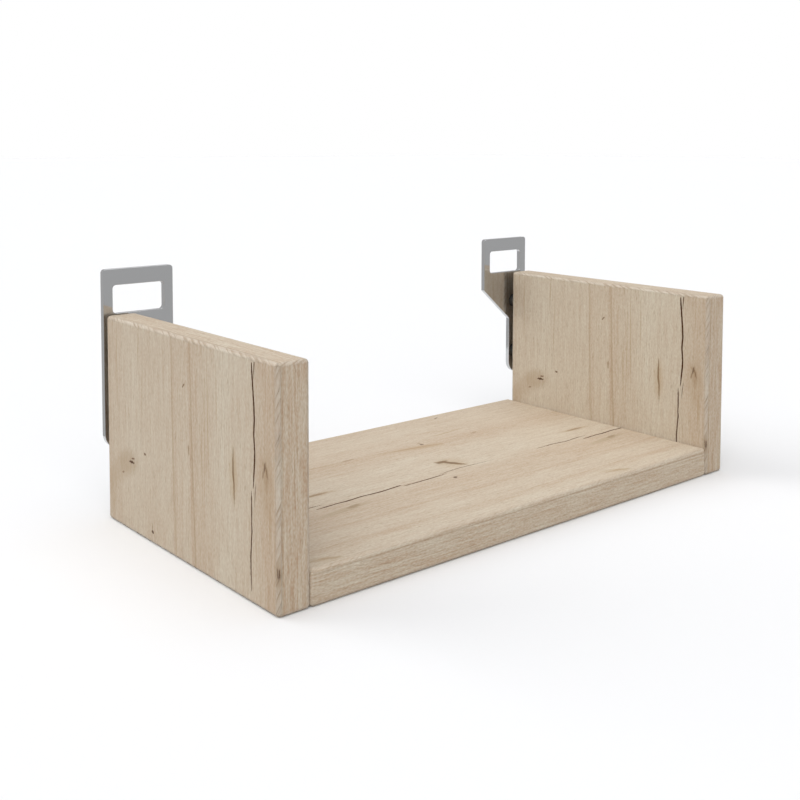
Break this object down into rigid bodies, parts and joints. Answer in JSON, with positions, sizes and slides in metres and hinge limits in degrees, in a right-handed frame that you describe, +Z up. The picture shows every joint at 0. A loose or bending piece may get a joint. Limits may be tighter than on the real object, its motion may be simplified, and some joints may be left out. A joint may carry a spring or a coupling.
{
  "type": "wall shelf",
  "caption": "Open box shelf with two upright sides and a board, hung on a wall by a windowed steel plate behind each side.",
  "frame": {"origin": "on the ground plane, under the middle of the overall box", "axes": "+X to the right as seen from the front, +Y towards the wall, +Z up"},
  "size_m": [0.48, 0.2496, 0.1965],
  "materials": {
    "oak_board": "matt oak-look decor on a wood core",
    "oak_edging": "matt oak-look edge band",
    "polished_steel": "polished to a mirror",
    "zinc_plated_steel": "bright zinc plated",
    "insert_brass": "turned",
    "cast_zinc": "die cast, as cast",
    "cap_plastic": "moulded, matt",
    "beech": "turned, raw"
  },
  "bodies": {
    "root": {"shelf_board_core": "oak_board", "shelf_board_front_band": "oak_edging", "shelf_board_back_band": "oak_edging", "shelf_board_left_end_band": "oak_edging", "shelf_board_right_end_band": "oak_edging", "left_side_core": "oak_board", "left_side_front_band": "oak_edging", "left_side_back_band": "oak_edging", "left_side_bottom_band": "oak_edging", "left_side_top_band": "oak_edging", "right_side_core": "oak_board", "right_side_front_band": "oak_edging", "right_side_back_band": "oak_edging", "right_side_bottom_band": "oak_edging", "right_side_top_band": "oak_edging", "left_hanger_plate": "polished_steel", "right_hanger_plate": "polished_steel", "left_lower_plate_screw": "zinc_plated_steel", "left_upper_plate_screw": "zinc_plated_steel", "right_lower_plate_screw": "zinc_plated_steel", "right_upper_plate_screw": "zinc_plated_steel", "left_lower_spacer_sleeve": "zinc_plated_steel", "left_upper_spacer_sleeve": "zinc_plated_steel", "right_lower_spacer_sleeve": "zinc_plated_steel", "right_upper_spacer_sleeve": "zinc_plated_steel", "left_lower_threaded_insert": "insert_brass", "left_upper_threaded_insert": "insert_brass", "right_lower_threaded_insert": "insert_brass", "right_upper_threaded_insert": "insert_brass", "left_front_cam_housing": "cast_zinc", "left_back_cam_housing": "cast_zinc", "right_front_cam_housing": "cast_zinc", "right_back_cam_housing": "cast_zinc", "left_front_cam_bolt": "zinc_plated_steel", "left_back_cam_bolt": "zinc_plated_steel", "right_front_cam_bolt": "zinc_plated_steel", "right_back_cam_bolt": "zinc_plated_steel", "left_front_cover_cap": "cap_plastic", "left_back_cover_cap": "cap_plastic", "right_front_cover_cap": "cap_plastic", "right_back_cover_cap": "cap_plastic", "left_front_dowel": "beech", "left_back_dowel": "beech", "right_front_dowel": "beech", "right_back_dowel": "beech"}
  },
  "joints": []
}
